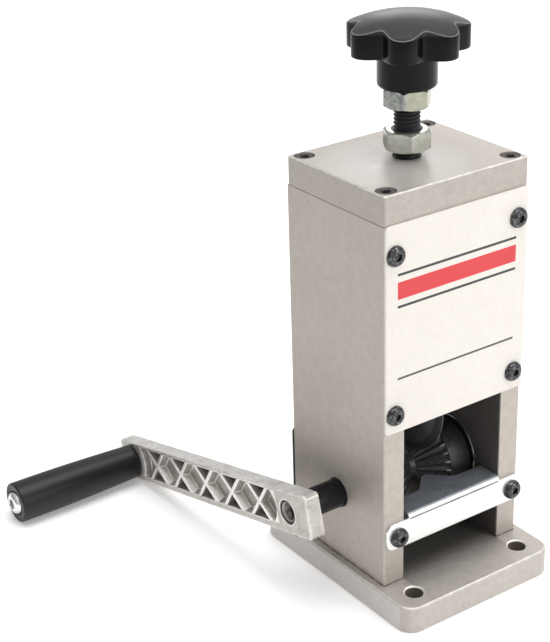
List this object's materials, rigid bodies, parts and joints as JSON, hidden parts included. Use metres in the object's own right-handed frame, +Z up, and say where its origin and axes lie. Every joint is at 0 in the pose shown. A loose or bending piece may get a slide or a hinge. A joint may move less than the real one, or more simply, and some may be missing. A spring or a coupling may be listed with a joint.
{
  "type": "hand crank wire stripper",
  "caption": "Bench-mounted wire stripper: a hand crank turns a toothed V-groove roller that feeds cable under a round blade, whose depth is set by a star knob on top.",
  "frame": {"origin": "centre of the base plate's underside, on the bench", "axes": "+Z up, -Y towards the front where the wire goes in, +X to the right seen from the front; the crank is on the -X side"},
  "size_m": [0.1848, 0.2106, 0.2671],
  "materials": {
    "housing_metal": "warm grey satin, fine mottled grain",
    "base_metal": "light warm grey satin, bright broken edges",
    "top_metal": "light grey satin",
    "white_plate": "creamy white, semi-gloss",
    "tray_steel": "bright polished sheet",
    "black_sheet": "black, satin",
    "black_steel": "black oxide, slightly oily",
    "black_steel_roller": "black oxide with worn bright tooth edges",
    "bearing_steel": "ground steel",
    "black_plastic": "matte black",
    "cast_aluminium": "die cast, satin",
    "grip_plastic": "charcoal black, semi-matte",
    "zinc_steel": "zinc plated",
    "carriage_metal": "dark machined",
    "blade_steel": "radially ground",
    "brass_turned": "turned",
    "gloss_black": "glossy black"
  },
  "bodies": {
    "housing": {"base_plate": "base_metal", "base_screws": "black_steel", "side_plate_left": "housing_metal", "side_plate_right": "housing_metal", "top_plate": "top_metal", "top_plate_screws": "black_steel", "front_plate": "white_plate", "front_plate_screws": "black_steel", "feed_tray": "tray_steel", "feed_tray_screws": "black_steel", "rear_guide_plate": "black_sheet", "rear_plate_screws": "black_steel", "bearing_outer_rings": "bearing_steel", "bearing_shields": "bearing_steel", "bearing_balls": "bearing_steel", "shaft_bushes": "black_plastic"},
    "crank": {"drive_roller": "black_steel_roller", "bearing_inner_rings": "bearing_steel", "crank_arm": "cast_aluminium", "crank_set_screw": "black_steel", "grip_bolt": "zinc_steel"},
    "handle": {"grip": "grip_plastic"},
    "carriage": {"blade_carriage": "carriage_metal", "blade_axle": "bearing_steel", "axle_set_screw": "black_steel", "blade_spacers": "brass_turned", "screw_retainer_plate": "carriage_metal", "retainer_screws": "black_steel"},
    "blade": {"cutting_blade": "blade_steel"},
    "adjuster": {"adjusting_screw": "black_steel", "adjusting_knob": "gloss_black", "knob_insert": "brass_turned", "jam_nut": "zinc_steel"},
    "locking_nut": {"lock_nut": "zinc_steel"}
  },
  "joints": [
    {"name": "crank_turn", "type": "hinge", "parent": "housing", "child": "crank", "pos_m": [0, 0, 0.0477], "axis": [1, 0, 0], "continuous": true},
    {"name": "grip_spin", "type": "hinge", "parent": "crank", "child": "handle", "pos_m": [-0.1, 0.14121, 0.0106], "axis": [1, 0, 0], "continuous": true},
    {"name": "carriage_slide", "type": "slide", "parent": "housing", "child": "carriage", "axis": [0, 0, 1], "range_m": [-0.0033, 0.014]},
    {"name": "knob_turn", "type": "hinge", "parent": "carriage", "child": "adjuster", "pos_m": [0, 0, 0.22], "axis": [0, 0, 1], "range_deg": [-680, 2881]},
    {"name": "blade_spin", "type": "hinge", "parent": "carriage", "child": "blade", "pos_m": [0, 0, 0.0859], "axis": [1, 0, 0], "continuous": true},
    {"name": "lock_nut_turn", "type": "hinge", "parent": "adjuster", "child": "locking_nut", "pos_m": [0, 0, 0.2119], "axis": [0, 0, 1], "continuous": true}
  ],
  "couplings": [
    {"joint": "knob_turn", "follows": "carriage_slide", "rad_per_m": 3590.4}
  ]
}
